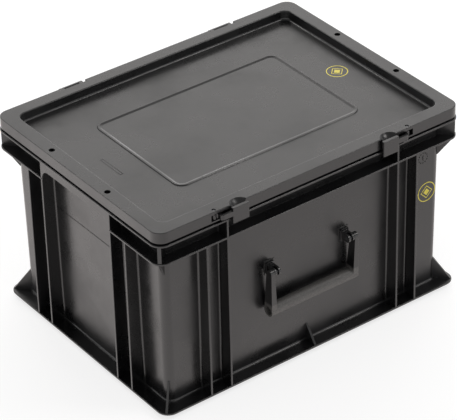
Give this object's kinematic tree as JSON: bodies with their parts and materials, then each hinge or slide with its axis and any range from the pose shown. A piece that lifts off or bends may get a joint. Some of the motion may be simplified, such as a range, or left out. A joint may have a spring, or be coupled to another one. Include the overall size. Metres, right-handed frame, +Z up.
{
  "type": "antistatic storage case",
  "caption": "Stacking antistatic storage case: ribbed plastic container with a hinged lid, snap latches and a swinging carry handle.",
  "frame": {"origin": "on the floor under the middle of the container", "axes": "+X along the long side, to the right of someone facing the latches; +Y towards the hinges; +Z up"},
  "size_m": [0.4, 0.3076, 0.235],
  "materials": {
    "case_plastic": "satin",
    "zinc_steel": "brushed"
  },
  "bodies": {
    "container": {"container": "case_plastic", "hinge_clip_left": "case_plastic", "hinge_clip_right": "case_plastic", "handle_bracket_left": "case_plastic", "handle_bracket_right": "case_plastic", "handle_pin_left": "zinc_steel", "handle_pin_right": "zinc_steel", "handle_screw_left": "zinc_steel", "handle_screw_right": "zinc_steel", "handle_washer_left": "zinc_steel", "handle_washer_right": "zinc_steel"},
    "lid": {"lid": "case_plastic", "latch_pin_left": "zinc_steel", "latch_pin_right": "zinc_steel", "hinge_pin_left": "zinc_steel", "hinge_pin_right": "zinc_steel"},
    "latch_left": {"latch_left": "case_plastic"},
    "latch_right": {"latch_right": "case_plastic"},
    "handle": {"handle": "case_plastic"}
  },
  "joints": [
    {"name": "lid_hinge", "type": "hinge", "parent": "container", "child": "lid", "pos_m": [0, 0.1495, 0.2305], "axis": [-1, 0, 0], "range_deg": [0, 180]},
    {"name": "latch_left_swing", "type": "hinge", "parent": "lid", "child": "latch_left", "pos_m": [-0.127, -0.1455, 0.227], "axis": [0, 0, -1], "range_deg": [0, 85]},
    {"name": "latch_right_swing", "type": "hinge", "parent": "lid", "child": "latch_right", "pos_m": [0.127, -0.1455, 0.227], "axis": [0, 0, 1], "range_deg": [0, 85]},
    {"name": "handle_swing", "type": "hinge", "parent": "container", "child": "handle", "pos_m": [0, -0.1454, 0.1255], "axis": [-1, 0, 0], "range_deg": [0, 180]}
  ]
}
